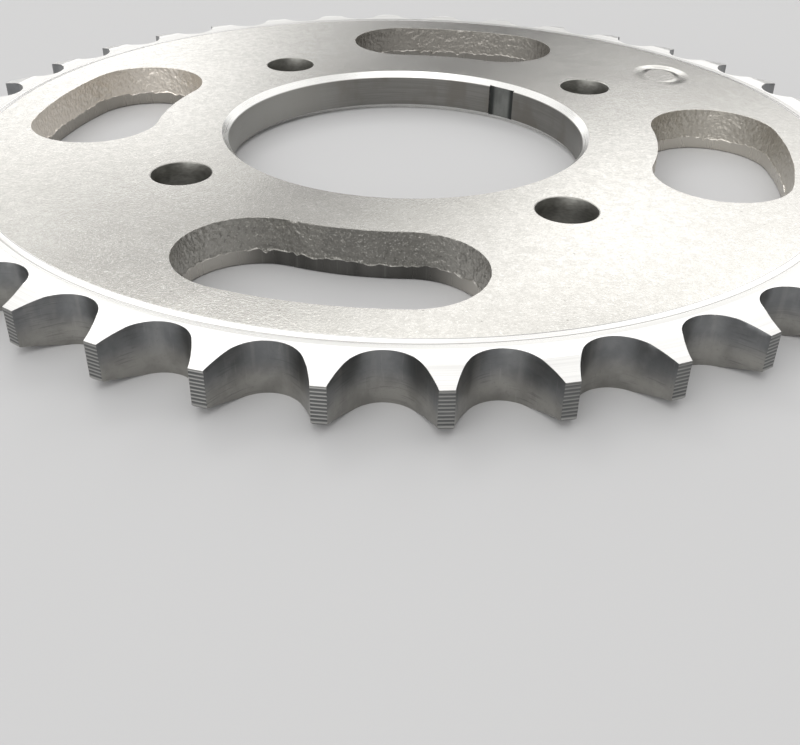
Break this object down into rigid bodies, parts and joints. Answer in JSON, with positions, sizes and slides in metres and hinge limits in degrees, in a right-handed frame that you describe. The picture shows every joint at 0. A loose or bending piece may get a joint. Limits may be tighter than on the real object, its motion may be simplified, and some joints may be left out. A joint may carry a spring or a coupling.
{
  "type": "chain sprocket",
  "caption": "Flat steel roller-chain sprocket with a large pilot bore, a ring of bolt holes, curved lightening slots and a turned rim of chamfered teeth.",
  "frame": {"origin": "on the bore axis, in the plane that the sprocket lies on", "axes": "+Z along the bore axis, towards the marked face; the slots are centred on +X, +Y, -X and -Y"},
  "size_m": [0.1496, 0.1496, 0.0069],
  "materials": {
    "steel": "machined and fine-ground bare steel, satin"
  },
  "bodies": {
    "root": {"sprocket": "steel"}
  },
  "joints": []
}
